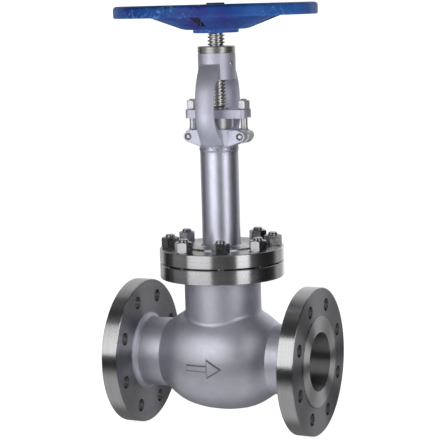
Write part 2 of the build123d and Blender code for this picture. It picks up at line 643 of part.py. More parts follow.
def eyebolt(side):
    """Swing bolt with its eye on the pin."""
    eye = extrude(Plane.XZ * Circle(EYE_R), EYE_HALF_T, both=True)
    rod_l = EYEBOLT_TOP_Z - PIN_Z
    outline = [(0, 0), (EYEBOLT_R, 0), (EYEBOLT_R, rod_l - EYEBOLT_CHAMFER),
               (EYEBOLT_R - EYEBOLT_CHAMFER, rod_l), (0, rod_l)]
    rod = revolve(Plane.XZ * make_face(Polyline(outline, close=True)), Axis.Z)
    hole = extrude(Plane.XZ * Circle(PIN_R + RUN_GAP), 2 * EYE_HALF_T, both=True)
    return Pos(STEM_X + side * PIN_X, 0, PIN_Z) * (eye + rod - hole)


def eyebolt_pin(side):
    """Pin across one pair of ears."""
    pin = Cylinder(PIN_R, 2 * EAR_OUT_Y)
    pin = chamfer(pin.edges(), PIN_EDGE)
    return Pos(STEM_X + side * PIN_X, 0, PIN_Z) * Rot(90, 0, 0) * pin


def gland_nut(side):
    """Nut on a swing bolt."""
    one = nut(GLAND_NUT_AF, EYEBOLT_R + RUN_GAP, GLAND_NUT_Z, GLAND_NUT_H, GLAND_NUT_CHAMFER, True)
    return Pos(STEM_X + side * PIN_X, 0, 0) * one


def key_block():
    """Key between the stem and the handwheel's hub, on the inlet side."""
    height = KEY_TOP_Z - KEY_Z
    depth = KEY_OUT_R - KEY_IN_R
    middle = (KEY_OUT_R + KEY_IN_R) / 2
    return Pos(STEM_X - middle, 0, (KEY_TOP_Z + KEY_Z) / 2) * Box(depth, KEY_W, height)


def handwheel():
    """Pressed dished handwheel with a channel rim, radial slots and a central hub."""
    web_edge_z = WEB_Z + (RIM_IN_R - WEB_FLAT_R) * WEB_RISE
    rim_arc = [(WHEEL_R - RIM_ROUND * (1 - math.cos(math.radians(a))),
                RIM_TOP_Z - RIM_ROUND * (1 - math.sin(math.radians(a)))) for a in range(0, 91, 15)]
    inner_arc = [(RIM_IN_R + RIM_WALL * (1 - math.sin(math.radians(a))),
                  RIM_TOP_Z - RIM_WALL * (1 - math.cos(math.radians(a)))) for a in range(0, 91, 15)]
    shell = turned([(WHEEL_HUB_R - WHEEL_HUB_LAP, WEB_Z), (WEB_FLAT_R, WEB_Z), (RIM_IN_R, web_edge_z),
                    (RIM_IN_R, RIM_LIP_Z), (RIM_IN_R + RIM_WALL, RIM_LIP_Z),
                    (RIM_IN_R + RIM_WALL, RIM_TOP_Z - RIM_WALL),
                    (WHEEL_R - RIM_WALL, RIM_TOP_Z - RIM_WALL), (WHEEL_R - RIM_WALL, RIM_Z),
                    (WHEEL_R, RIM_Z)] + rim_arc + inner_arc
                   + [(RIM_IN_R, web_edge_z + WEB_T), (WEB_FLAT_R, WEB_Z + WEB_T),
                      (WHEEL_HUB_R - WHEEL_HUB_LAP, WEB_Z + WEB_T)])
    half_in = SLOT_IN_R * math.tan(math.radians(SLOT_HALF_DEG))
    half_out = SLOT_OUT_R * math.tan(math.radians(SLOT_HALF_DEG))
    slot = make_face(Polyline([(SLOT_IN_R, -half_in), (SLOT_OUT_R, -half_out),
                               (SLOT_OUT_R, half_out), (SLOT_IN_R, half_in)], close=True))
    slot = fillet(slot.vertices(), SLOT_CORNER_R)
    cutter = Pos(STEM_X, 0, WHEEL_HUB_Z) * extrude(slot, RIM_TOP_Z - WHEEL_HUB_Z)
    for one in around_stem(cutter, SLOT_COUNT, SLOT_TURN_DEG):
        shell -= one
    hub = ring(STEM_NECK_R, WHEEL_HUB_R, WHEEL_HUB_Z, WEB_Z + WEB_T)
    sleeve = ring(STEM_NECK_R, WHEEL_SLEEVE_R, WHEEL_HUB_Z, WHEEL_HUB_TOP_Z)
    return shell + hub + sleeve - key_block()


def handwheel_washer():
    """Washer under the handwheel nut."""
    return ring(WASHER_HOLE_R, WASHER_R, WHEEL_HUB_TOP_Z, WHEEL_NUT_Z)


def handwheel_nut():
    """Nut that holds the handwheel on the stem."""
    one = nut(WHEEL_NUT_AF, STEM_END_R, WHEEL_NUT_Z, WHEEL_NUT_H, WHEEL_NUT_CHAMFER, True)
    return Pos(STEM_X, 0, 0) * one


def main():
    """Write every sub-part to its own STEP file."""
    os.makedirs("parts", exist_ok=True)
    shapes = {
        "body": body(),
        "seat_ring": seat_ring(),
        "disc": disc(),
        "disc_thrust_pad": disc_thrust_pad(),
        "disc_nut": disc_nut(),
        "stem": stem(),
        "backseat_bushing": backseat_bushing(),
        "bonnet_gasket": bonnet_gasket(),
        "bonnet_flange": bonnet_flange(),
        "bonnet_studs": bonnet_studs(),
        "bonnet_nuts": bonnet_nuts(),
        "extension_tube": extension_tube(),
        "yoke": yoke(),
        "packing_spacer": packing_spacer(),
        "packing_rings": packing_rings(),
        "gland": gland(),
        "gland_flange": gland_flange(),
        "eyebolt_left": eyebolt(-1),
        "eyebolt_right": eyebolt(1),
        "eyebolt_pin_left": eyebolt_pin(-1),
        "eyebolt_pin_right": eyebolt_pin(1),
        "gland_nut_left": gland_nut(-1),
        "gland_nut_right": gland_nut(1),
        "yoke_bushing": yoke_bushing(),
        "bushing_set_screw": bushing_set_screw(),
        "handwheel": handwheel(),
        "handwheel_key": key_block(),
        "handwheel_washer": handwheel_washer(),
        "handwheel_nut": handwheel_nut(),
    }
    for node, shape in shapes.items():
        export_step(shape, f"parts/{node}.step")


main()
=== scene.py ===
import json
import math

import bmesh
import bpy
from mathutils import Matrix, Vector, noise


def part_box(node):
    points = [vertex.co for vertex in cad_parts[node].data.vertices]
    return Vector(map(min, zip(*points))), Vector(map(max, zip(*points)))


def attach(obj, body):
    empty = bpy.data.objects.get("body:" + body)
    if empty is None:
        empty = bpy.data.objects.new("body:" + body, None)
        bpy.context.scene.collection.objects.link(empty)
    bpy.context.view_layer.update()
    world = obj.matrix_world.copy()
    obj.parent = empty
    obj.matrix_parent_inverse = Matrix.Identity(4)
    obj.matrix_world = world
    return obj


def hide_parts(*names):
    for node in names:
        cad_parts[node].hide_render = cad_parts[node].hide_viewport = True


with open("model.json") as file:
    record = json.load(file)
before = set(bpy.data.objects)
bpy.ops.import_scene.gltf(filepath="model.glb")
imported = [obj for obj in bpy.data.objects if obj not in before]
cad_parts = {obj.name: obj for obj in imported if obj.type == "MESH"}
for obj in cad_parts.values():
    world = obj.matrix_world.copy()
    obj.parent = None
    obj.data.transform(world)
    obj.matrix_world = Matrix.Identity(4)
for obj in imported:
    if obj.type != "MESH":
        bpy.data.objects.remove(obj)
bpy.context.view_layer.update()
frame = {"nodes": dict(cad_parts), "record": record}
NODES = frame["nodes"]

# ---------------------------------------------------------------- measures
# Shapes are measured in millimetres in the row frame: x runs along the flow, z is up and the
# flow axis lies at z = 0. The stage, the lights and the camera are measured in metres.
MM = 0.001
DEG = math.pi / 180
body_lo, body_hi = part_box("body")
STEM_X = (body_lo.x + body_hi.x) / 2 / MM
RUN_GAP = 0.05
FACE_GAP = 0.02

# Body: pipe flanges, port, the flange below the bonnet, and the flow arrow.
FLANGE_T = 30.2
RAISED_H = 1.6
PORT_R = 51.0
PORT_L = 79.0
BODY_FLANGE_Z = 142.5
ARROW_Z = -4.0
ARROW_L = 62.0
ARROW_W = 30.0
ARROW_SHAFT_W = 9.0
ARROW_HEAD_L = 24.0

# Bonnet joint.
BONNET_FLANGE_TOP_Z = 193.7
STUD_CIRCLE_R = 89.0
STUD_R = 9.0
STUD_ROOT_R = 7.7
STUD_END_Z = 143.5
STUD_PITCH = 2.5
STUD_NUT_AF = 27.0
STUD_NUT_H = 18.0
STUD_NUT_CHAMFER = 1.5
STUD_TOP_Z = 216.7
# Where each nut happened to stop when it was tightened.
STUD_NUT_TURNS_DEG = (8.0, 1.5, 20.0, 16.5, 13.5, 3.5, 31.5, 23.5)

# Welds of the extension tube: where the weld metal ends and where it is full.
FOOT_WELD_FULL_Z = 199.0
FOOT_WELD_END_Z = 201.5
TOP_WELD_END_Z = 352.0
TOP_WELD_FULL_Z = 360.0
YOKE_WELD_FULL_Z = 367.5
YOKE_WELD_END_Z = 374.0

# Ears, swing bolts and their nuts.
EAR_SINK_R = 6.0
PIN_X = 48.0
PIN_Z = 386.0
PIN_R = 4.0
EYE_R = 12.0
EYE_HALF_T = 10.5
BOLT_R = 6.0
BOLT_ROOT_R = 5.2
BOLT_PITCH = 1.75
BOLT_TOP_Z = 449.5
GLAND_NUT_Z = 432.3
GLAND_NUT_AF = 19.0
GLAND_NUT_H = 14.5
GLAND_NUT_CHAMFER = 1.6

# Yoke bushing and its set screw.
YOKE_BOSS_Z = 483.0
YOKE_BOSS_TOP_Z = 527.5
BUSHING_BORE_R = 13.55
BUSHING_SPIGOT_R = 24.0
BUSHING_R = 32.5
BUSHING_EDGE = 1.3
BUSHING_TOP_Z = 539.5
SET_SCREW_Z = 510.5
SET_SCREW_TURN_DEG = -15.0
SET_SCREW_R = 4.0
SET_SCREW_IN = 21.0
SET_SCREW_OUT = 33.6

# Stem.
HEAD_Z = 32.05
HEAD_T = 8.0
HEAD_R = 20.0
HEAD_EDGE = 2.0
STEM_TIP_R = 8.0
STEM_R = 15.0
BACKSEAT_Z = 141.1
BACKSEAT_R = 19.0
THREAD_Z = 433.0
THREAD_RUNOUT = 1.5
THREAD_PITCH = 6.0
THREAD_CREST_R = 14.9
THREAD_ROOT_R = 11.8
STEM_NECK_R = 11.0
STEM_END_R = 10.0
STEM_END_ROOT_R = 8.9
STEM_END_PITCH = 2.5
STEM_TOP_Z = 612.5

# Handwheel. Its section runs from the hub along the web to the channelled rim.
WHEEL_R = 174.5
WHEEL_HUB_R = 39.0
WHEEL_HUB_Z = 562.0
WHEEL_HUB_TOP_Z = 592.0
WHEEL_SLEEVE_R = 26.0
WEB_Z = 568.0
WEB_T = 4.0
WEB_RISE = 0.377
WEB_FLAT_R = 55.0
WEB_IN_R = 52.0
WEB_OUT_R = 141.5
RIM_Z = 590.0
RIM_TOP_Z = 610.5
RIM_LIP_Z = 596.0
RIM_IN_R = 144.0
RIM_CROWN_R = 160.0
RIM_WALL = 4.0
RIM_SHOULDER = 6.0
RIM_ROUND = 5.0
CHANNEL_ROUND = 2.5
SLOT_COUNT = 4
SLOT_TURN = 4.0 * DEG
SLOT_HALF = 5.8 * DEG
SLOT_IN_R = 60.0
SLOT_OUT_R = 138.0
SLOT_CORNER_R = 4.0
SLOT_SIDE_R = (78.0, 92.0, 106.0, 120.0)
SECTOR_COLUMNS = 60
RIM_DIP = 0.5
RIM_DROP = 0.35
NICK_ANGLES_DEG = (-93.0, -75.5)
NICK_HALF_DEG = 1.6
NICK_DEPTH = 1.7


# ---------------------------------------------------------------- node helpers
WHITE = (1.0, 1.0, 1.0, 1.0)
NEUTRAL = (1.0, 1.0, 1.02)


class Tree:
    """Short way to write a node tree: t(kind, inputs, prop=value) adds one node.
    inputs is a list or a dict; each entry is a value, a socket or None."""

    def __init__(self, tree):
        self.tree = tree
        tree.nodes.clear()

    def __call__(self, kind, inputs=(), **props):
        made = self.tree.nodes.new(kind)
        for key, value in props.items():
            setattr(made, key, value)
        pairs = inputs.items() if isinstance(inputs, dict) else enumerate(inputs)
        for key, value in pairs:
            if isinstance(value, bpy.types.NodeSocket):
                self.tree.links.new(value, made.inputs[key])
            elif value is not None:
                made.inputs[key].default_value = value
        return made

    def math(self, operation, a, b=None):
        return self("ShaderNodeMath", [a, b], operation=operation).outputs[0]

    def plus(self, a, b):
        return self.math("ADD", a, b)

    def minus(self, a, b):
        return self.math("SUBTRACT", a, b)

    def times(self, a, b):
        return self.math("MULTIPLY", a, b)

    def absolute(self, value):
        return self.math("ABSOLUTE", value)

    def vector(self, operation, a, b=None):
        made = self("ShaderNodeVectorMath", [a, b], operation=operation)
        return made.outputs["Value" if operation in ("LENGTH", "DOT_PRODUCT") else "Vector"]

    def scale(self, vector, factor):
        made = self("ShaderNodeVectorMath", {"Vector": vector, "Scale": factor}, operation="SCALE")
        return made.outputs["Vector"]

    def axes(self, vector):
        return self("ShaderNodeSeparateXYZ", [vector]).outputs

    def millimetres(self, where):
        """x, y and z of a position, in millimetres."""
        return self.axes(self.scale(where, 1 / MM))

    def mix(self, share, a, b):
        return self("ShaderNodeMix", {0: share, 6: a, 7: b}, data_type="RGBA").outputs[2]

    def remap(self, value, span, result=(0.0, 1.0)):
        """Smooth step of value over span, from the first result to the second."""
        made = self("ShaderNodeMapRange", [value, *span, *result], interpolation_type="SMOOTHSTEP")
        return made.outputs[0]

    def noise(self, where, scale, detail=2.0, rough=0.5, twist=0.0):
        """Noise with about scale features a metre."""
        made = self("ShaderNodeTexNoise", {"Vector": where, "Scale": scale, "Detail": detail,
                                           "Roughness": rough, "Distortion": twist})
        return made.outputs["Fac"]

    def bump(self, height, strength, distance, normal=None):
        made = self("ShaderNodeBump", {"Strength": strength, "Distance": distance, "Height": height,
                                       "Normal": normal})
        return made.outputs[0]

    def principled(self, **inputs):
        """Principled surface; an underscore in an input's name stands for a space."""
        named = {key.replace("_", " "): value for key, value in inputs.items()}
        shader = self("ShaderNodeBsdfPrincipled", named)
        self("ShaderNodeOutputMaterial", [shader.outputs[0]])

    def glow(self, strength):
        """Plain white light."""
        shader = self("ShaderNodeEmission", {"Color": WHITE, "Strength": strength})
        self("ShaderNodeOutputMaterial", [shader.outputs[0]])


def grey(light, tint):
    """Colour of a metal: light in each channel, times its tint."""
    return (light * tint[0], light * tint[1], light * tint[2], 1.0)


def new_material(name):
    """Material, its node tree and the position in the row frame, in metres."""
    made = bpy.data.materials.new(name)
    made.use_nodes = True
    tree = Tree(made.node_tree)
    where = tree("ShaderNodeTexCoord").outputs["Object"]
    return made, tree, where


# ---------------------------------------------------------------- masks
def arrow_outline_shade(t, where):
    """Painted shade along the outline of the raised flow arrow on the body's front, standing in for the
    shading of its relief.
    """
    x, y, z = t.millimetres(where)
    along = t.minus(x, STEM_X)
    across = t.absolute(t.minus(z, ARROW_Z))
    shaft_half_l = (ARROW_L - ARROW_HEAD_L) / 2
    shaft_end = t.minus(t.absolute(t.plus(along, ARROW_HEAD_L / 2)), shaft_half_l)
    shaft = t.math("MAXIMUM", t.minus(across, ARROW_SHAFT_W / 2), shaft_end)
    slant = math.hypot(ARROW_HEAD_L, ARROW_W / 2)
    flank = t.plus(t.times(across, ARROW_HEAD_L / slant),
                   t.times(t.minus(along, ARROW_L / 2), ARROW_W / 2 / slant))
    head = t.math("MAXIMUM", t.minus(ARROW_L / 2 - ARROW_HEAD_L, along), flank)
    line_offset = 0.3
    away = t.absolute(t.minus(t.math("MINIMUM", shaft, head), line_offset))
    front = t.remap(y, (-60.0, -50.0), (1.0, 0.0))
    return t.times(t.remap(away, (0.3, 1.9), (0.85, 0.0)), front)


def tube_seams(t, where):
    """Both welds of the extension tube."""
    height = t.millimetres(where)[2]
    foot = t.remap(height, (FOOT_WELD_FULL_Z, FOOT_WELD_END_Z), (1.0, 0.0))
    return t.plus(foot, t.remap(height, (TOP_WELD_END_Z, TOP_WELD_FULL_Z)))


def yoke_seam(t, where):
    """Weld metal washed up onto the foot of the yoke."""
    height = t.millimetres(where)[2]
    return t.remap(height, (YOKE_WELD_FULL_Z, YOKE_WELD_END_Z), (1.0, 0.0))


def pin_counterbore_shade(t, where):
    """Painted shadow in the counterbores round the ends of the swing-bolt pins."""
    x, y, z = t.millimetres(where)
    across = t.minus(t.absolute(t.minus(x, STEM_X)), PIN_X)
    up = t.minus(z, PIN_Z)
    away = t.math("SQRT", t.plus(t.times(across, across), t.times(up, up)))
    return t.remap(away, (EAR_SINK_R + 0.1, EAR_SINK_R + 0.6), (0.9, 0.0))


# ---------------------------------------------------------------- materials
def cast_metal(name, light, tint, rough, grain=1.0, lumps=1.0, mottling=0.10, outline=None, weld=None):
    """Shot-blasted or satin casting: fine grain, slow unevenness and faint mottling.
    outline gives a mask of painted shade, darkened and made a little rougher, and weld a mask of
    rippled weld metal."""
    made, t, where = new_material(name)
    fine = t.noise(where, scale=1500.0, rough=0.6)
    medium = t.noise(where, scale=420.0, detail=3.0, rough=0.55)
    slow = t.noise(where, scale=38.0, detail=3.0)
    patches = t.noise(where, scale=14.0)
    blotch = t.plus(t.times(slow, 0.6), t.times(patches, 0.4))
    tone = t.remap(blotch, (0.30, 0.72), (1.0 - mottling, 1.0 + 0.4 * mottling))
    speck = t.remap(fine, (0.35, 0.7), (0.97, 1.02))
    colour = t.scale(grey(light, tint)[:3], t.times(tone, speck))
    roughness = t.remap(medium, (0.3, 0.7), (rough - 0.05, rough + 0.06))
    height = t.plus(t.times(fine, 0.35 * grain), t.times(medium, 0.65 * grain))
    # Painted shade: darken towards a dark grey where the outline mask is set.
    if outline:
        shade_mask = outline(t, where)
        colour = t.mix(shade_mask, colour, grey(0.26, tint))
        roughness = t.plus(roughness, t.times(shade_mask, 0.12))
    if weld:
        seam = weld(t, where)
        ripple = t.noise(where, scale=230.0, detail=3.0, rough=0.6, twist=1.2)
        height = t.plus(height, t.times(t.times(ripple, seam), 5.0))
        streak = t.times(seam, t.remap(ripple, (0.38, 0.62), (0.0, 0.7)))
        colour = t.mix(streak, colour, grey(0.30, tint))
    grainy = t.bump(height, strength=0.35, distance=0.0002)
    uneven = t.bump(slow, strength=0.25 * lumps, distance=0.0012, normal=grainy)
    t.principled(Base_Color=colour, Metallic=1.0, Roughness=roughness, Normal=uneven)
    return made


def turned_metal(name, axis, light, tint=NEUTRAL, rough=0.24, stretch=0.85, groove=0.12):
    """Lathe-turned metal: fine grooves run round the axis, so highlights spread across them.
    axis is (point, direction) in the row frame, in metres."""
    made, t, where = new_material(name)
    point, direction = axis
    arm = t.vector("SUBTRACT", where, point)
    around = t.vector("CROSS_PRODUCT", direction, arm)
    around_world = t("ShaderNodeVectorTransform", [around], vector_type="VECTOR",
                     convert_from="OBJECT", convert_to="WORLD").outputs[0]
    normal = t("ShaderNodeNewGeometry").outputs["Normal"]
    across = t.vector("NORMALIZE", t.vector("CROSS_PRODUCT", normal, around_world))
    along = t.vector("DOT_PRODUCT", arm, direction)
    radius = t.vector("LENGTH", around)
    track = t("ShaderNodeCombineXYZ", [along, radius, 0.0]).outputs[0]
    grooves = t.noise(track, scale=2600.0, detail=3.0, rough=0.7)
    bands = t.noise(track, scale=220.0, detail=3.0, rough=0.6)
    smear = t.noise(where, scale=30.0, detail=3.0)
    tone = t.times(t.remap(bands, (0.3, 0.7), (0.93, 1.03)), t.remap(smear, (0.3, 0.7), (0.94, 1.03)))
    colour = t.scale(grey(light, tint)[:3], tone)
    roughness = t.plus(t.remap(smear, (0.3, 0.7), (rough - 0.01, rough + 0.02)), t.times(grooves, 0.04))
    grooved = t.bump(grooves, strength=groove, distance=0.00004)
    t.principled(Base_Color=colour, Metallic=1.0, Roughness=roughness, Anisotropic=stretch,
                 Tangent=across, Normal=grooved)
    return made


def plain_metal(name, light, rough, tint=NEUTRAL, scale=160.0):
    """Plain steel with small uneven marks, scale marks a metre."""
    made, t, where = new_material(name)
    mark = t.noise(where, scale=scale, detail=4.0, rough=0.6)
    smear = t.noise(where, scale=90.0, detail=3.0)
    tone = t.remap(t.times(t.plus(mark, smear), 0.5), (0.32, 0.68), (0.88, 1.048))
    colour = t.scale(grey(light, tint)[:3], tone)
    roughness = t.remap(mark, (0.3, 0.7), (rough - 0.05, rough + 0.07))
    marked = t.bump(mark, strength=0.4, distance=0.00001)
    t.principled(Base_Color=colour, Metallic=1.0, Roughness=roughness, Normal=marked)
    return made


def graphite(name):
    """Pressed graphite packing, dark and faintly woven."""
    made, t, where = new_material(name)
    weave = t.noise(where, scale=900.0, detail=4.0, rough=0.7)
    colour = t.mix(t.remap(weave, (0.3, 0.7)), (0.022, 0.022, 0.024, 1), (0.06, 0.06, 0.065, 1))
    woven = t.bump(weave, strength=0.5, distance=0.0002)
    t.principled(Base_Color=colour, Metallic=0.2, Roughness=0.55, Normal=woven)
    return made


def worn_paint(name, painted_shade=1.0):
    """Thick blue paint, uneven in shade and rubbed lighter in places.
    Its last argument below 1 darkens it as painted shade and takes away its gloss."""
    made, t, where = new_material(name)
    slow = t.noise(where, scale=16.0, detail=3.0, rough=0.55)
    hue = t.noise(where, scale=7.0)
    peel = t.noise(where, scale=380.0)
    scuff = t.noise(where, scale=120.0, detail=5.0, rough=0.7, twist=0.8)
    region = t.noise(where, scale=9.0, detail=1.0)
    deep = t.mix(t.remap(hue, (0.42, 0.60)), (0.030, 0.034, 0.245, 1), (0.010, 0.062, 0.300, 1))
    base = t.mix(t.remap(slow, (0.35, 0.68)), deep, (0.018, 0.110, 0.400, 1))
    rubbed = t.times(t.remap(scuff, (0.52, 0.64)), t.remap(region, (0.44, 0.60)))
    colour = t.scale(t.mix(t.times(rubbed, 0.75), base, (0.10, 0.30, 0.60, 1)), painted_shade)
    roughness = t.remap(scuff, (0.4, 0.7), (0.40, 0.58))
    peeled = t.bump(peel, strength=0.3, distance=0.0004)
    uneven = t.bump(slow, strength=0.45, distance=0.003, normal=peeled)
    t.principled(Base_Color=colour, Roughness=roughness, Specular_IOR_Level=0.22 * painted_shade ** 3,
                 Normal=uneven)
    return made


FLOW_AXIS = ((0.0, 0.0, 0.0), (1.0, 0.0, 0.0))
STEM_AXIS = ((STEM_X * MM, 0.0, 0.0), (0.0, 0.0, 1.0))

# The body carries painted shade along the flow arrow's outline, and the yoke a painted shadow in the
# pins' counterbores.
CAST = cast_metal("cast_steel_blasted", light=0.77, tint=(1.0, 1.01, 1.13), rough=0.52,
                  outline=arrow_outline_shade)
TUBE = cast_metal("tube_satin", light=0.76, tint=(1.0, 1.012, 1.18), rough=0.42, grain=0.35,
                  lumps=0.3, mottling=0.05, weld=tube_seams)
YOKE = cast_metal("yoke_satin_cast", light=0.84, tint=(1.0, 1.01, 1.16), rough=0.60, grain=0.7,
                  lumps=0.8, mottling=0.08, outline=pin_counterbore_shade, weld=yoke_seam)
END_TURNED = turned_metal("flange_turned", FLOW_AXIS, light=0.54, groove=0.03)
# The flat flange faces and the bores are darker copies of the turned flange steel: painted shade.
FACE_TURNED = turned_metal("flange_face_turned", FLOW_AXIS, light=0.36, tint=(1.0, 0.99, 1.08),
                           rough=0.40, stretch=0.99)
RAISED_TURNED = turned_metal("raised_face_turned", FLOW_AXIS, light=0.74, rough=0.50, stretch=0.99)
BORE_TURNED = turned_metal("bore_turned", FLOW_AXIS, light=0.42, rough=0.50, stretch=0.99)
STEM_TURNED = turned_metal("stem_axis_turned", STEM_AXIS, light=0.56, groove=0.03)
GLAND_TURNED = turned_metal("gland_turned", STEM_AXIS, light=0.66, rough=0.46, stretch=0.5)
FACING = turned_metal("hard_facing_lapped", STEM_AXIS, light=0.62, rough=0.14, stretch=0.5)
BUSHING = turned_metal("bushing_turned", STEM_AXIS, light=0.70, tint=(1.01, 1.0, 0.98), rough=0.46)
STEM_BRIGHT = plain_metal("stem_bright", light=0.60, tint=(1.02, 1.01, 0.99), rough=0.36, scale=120.0)
FASTENER_DARK = plain_metal("fastener_dark", light=0.40, tint=(1.0, 1.0, 1.03), rough=0.22)
FASTENER_BRIGHT = plain_metal("fastener_plain", light=0.76, tint=(1.0, 1.0, 1.04), rough=0.46)
STUD_DARK = plain_metal("stud_dark", light=0.45, rough=0.20)
# Lighter copy of the plain steel for the pins: painted highlight on their ends.
PIN_LIGHTENED = plain_metal("pin_lightened", light=0.92, rough=0.55)
GRAPHITE = graphite("graphite_pressed")
PAINT = worn_paint("blue_paint_worn")
# Darker, less glossy copies of the paint for the web's underside and for the wheel's hollow side and
# channel: painted shade.
PAINT_WEB_SHADED = worn_paint("blue_paint_web_shaded", painted_shade=0.68)
PAINT_SHADED_INSIDE = worn_paint("blue_paint_shaded_inside", painted_shade=0.48)

FINISH = {
    "cast_steel": CAST, "hard_facing": FACING, "machined_steel": STEM_TURNED,
    "stem_steel": STEM_BRIGHT, "graphite": GRAPHITE, "fastener_steel": FASTENER_DARK,
    "fastener_bright": FASTENER_BRIGHT, "tube_steel": TUBE, "yoke_steel": YOKE,
    "bushing_steel": BUSHING, "blue_paint": PAINT,
}
for part in frame["record"]["subparts"]:
    node = NODES[part["node"]]
    node.data.materials.clear()
    node.data.materials.append(FINISH[part["material_slot"]])
NODES["gland"].data.materials[0] = GLAND_TURNED
# The pins get the lighter steel, a painted highlight.
for pin in ("eyebolt_pin_left", "eyebolt_pin_right"):
    NODES[pin].data.materials[0] = PIN_LIGHTENED


def paint_zones(mesh, finishes, zone_of):
    """Add finishes to a mesh, and let zone_of choose each face's from its centre in mm and its
    normal: 0 is the mesh's own finish, 1 the first of the added ones, and so on."""
    for finish in finishes:
        mesh.materials.append(finish)
    for face in mesh.polygons:
        face.material_index = zone_of(face.center / MM, face.normal)


def body_zone(centre, normal):
    """Machined zones of the body: both end flanges, their raised faces, the bores in them and
    the bonnet flange."""
    near = 0.1
    rim, bonnet_flange, flat_face, raised_face, bore = range(1, 6)
    from_end = min(centre.x - body_lo.x / MM, body_hi.x / MM - centre.x)
    if math.hypot(centre.y, centre.z) < PORT_R + near and from_end < PORT_L:
        return bore
    if from_end < RAISED_H / 2:
        return raised_face
    if from_end < FLANGE_T + near:
        return flat_face if abs(normal.x) > 0.9 else rim
    return bonnet_flange if centre.z > BODY_FLANGE_Z - near else 0


paint_zones(NODES["body"].data, (END_TURNED, STEM_TURNED, FACE_TURNED, RAISED_TURNED, BORE_TURNED),
            body_zone)


# ---------------------------------------------------------------- mesh builders
def round_steps(count):
    """Angles of count even steps round a circle."""
    return [math.tau * k / count for k in range(count)]


class Shell:
    """Collects points and faces, in millimetres in the row frame."""

    def __init__(self):
        self.points = []
        self.faces = []

    def rings(self, rings, close=False):
        """Join rings of equal length with quads; close joins the last ring to the first."""
        start = len(self.points)
        count = len(rings[0])
        for ring in rings:
            self.points.extend(ring)
        total = len(rings)
        for i in range(total if close else total - 1):
            low = start + i * count
            high = start + (i + 1) % total * count
            for j in range(count):
                k = (j + 1) % count
                self.faces.append((low + j, low + k, high + k, high + j))

    def lathe(self, outline, count=72, centre=(STEM_X, 0.0), close=False):
        """Turn an outline of (radius, z) about a vertical axis at centre."""
        self.rings([[(centre[0] + r * math.cos(a), centre[1] + r * math.sin(a), z)
                     for a in round_steps(count)] for r, z in outline], close)

    def thread(self, z_low, z_high, pitch, crest_r, root_r, count=72, centre=(STEM_X, 0.0),
               crest=0.34, flank=0.16):
        """Helical thread; its outline is laid out once per pitch and wound up the axis.
        crest and flank are shares of the pitch. The thread rises from its root at both ends."""
        rise_per_pitch = 1.6
        stations = [(0.0, root_r), (1 - crest - 2 * flank, root_r),
                    (1 - crest - flank, crest_r), (1 - flank, crest_r)]
        turns = math.ceil((z_high - z_low) / pitch) + 1
        start = len(self.points)
        rows = turns * len(stations)
        for i in range(rows):
            share, r = stations[i % len(stations)]
            turn = i // len(stations)
            for j in range(count + 1):
                z = z_low + pitch * (turn + share + j / count - 1)
                inside = min(z - z_low, z_high - z) / pitch
                fade = min(1.0, max(0.0, inside * rise_per_pitch))
                here = root_r + (r - root_r) * fade
                angle = math.tau * j / count
                self.points.append((centre[0] + here * math.cos(angle),
                                    centre[1] + here * math.sin(angle), min(max(z, z_low), z_high)))
        wide = count + 1
        for i in range(rows - 1):
            for j in range(count):
                a = start + i * wide + j
                self.faces.append((a, a + 1, a + wide + 1, a + wide))

    def hexagon(self, z_low, height, across, bore, chamfer, centre, turn=0.0):
        """Hexagon nut with turned corners at both ends and a countersunk bore."""
        count = 60
        flat = across / 2
        corner = across / math.sqrt(3)
        sink = min(1.2, (flat - bore) / 3)
        angles = round_steps(count)
        hexes = [flat / math.cos((a % (math.pi / 3)) - math.pi / 6) for a in angles]
        drops = [(h - flat) * chamfer / (corner - flat) for h in hexes]
        z_high = z_low + height
        rows = [[(bore, z_low + sink)] * count, [(bore + sink, z_low)] * count,
                [(flat, z_low)] * count,
                [(h, z_low + d) for h, d in zip(hexes, drops)],
                [(h, z_high - d) for h, d in zip(hexes, drops)],
                [(flat, z_high)] * count, [(bore + sink, z_high)] * count,
                [(bore, z_high - sink)] * count]
        self.rings([[(centre[0] + r * math.cos(a + turn), centre[1] + r * math.sin(a + turn), z)
                     for (r, z), a in zip(row, angles)] for row in rows], close=True)


def piece(name, shell, body, material, replaced, sharp=30.0, bevel=0.0):
    """Mesh object from a shell, set in the row, with the CAD node it stands for hidden."""
    mesh = bpy.data.meshes.new(name)
    mesh.from_pydata([(x * MM, y * MM, z * MM) for x, y, z in shell.points], [], shell.faces)
    joined = bmesh.new()
    joined.from_mesh(mesh)
    bmesh.ops.remove_doubles(joined, verts=joined.verts, dist=2e-6)
    bmesh.ops.recalc_face_normals(joined, faces=joined.faces)
    joined.to_mesh(mesh)
    joined.free()
    mesh.shade_smooth()
    mesh.set_sharp_from_angle(angle=math.radians(sharp))
    mesh.materials.append(material)
    made = bpy.data.objects.new(name, mesh)
    bpy.context.scene.collection.objects.link(made)
    if bevel:
        edge = made.modifiers.new("edge", "BEVEL")
        edge.width = bevel * MM
        edge.segments = 2
        edge.angle_limit = math.radians(28)
        edge.harden_normals = True
    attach(made, body)
    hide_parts(*replaced)
    return made


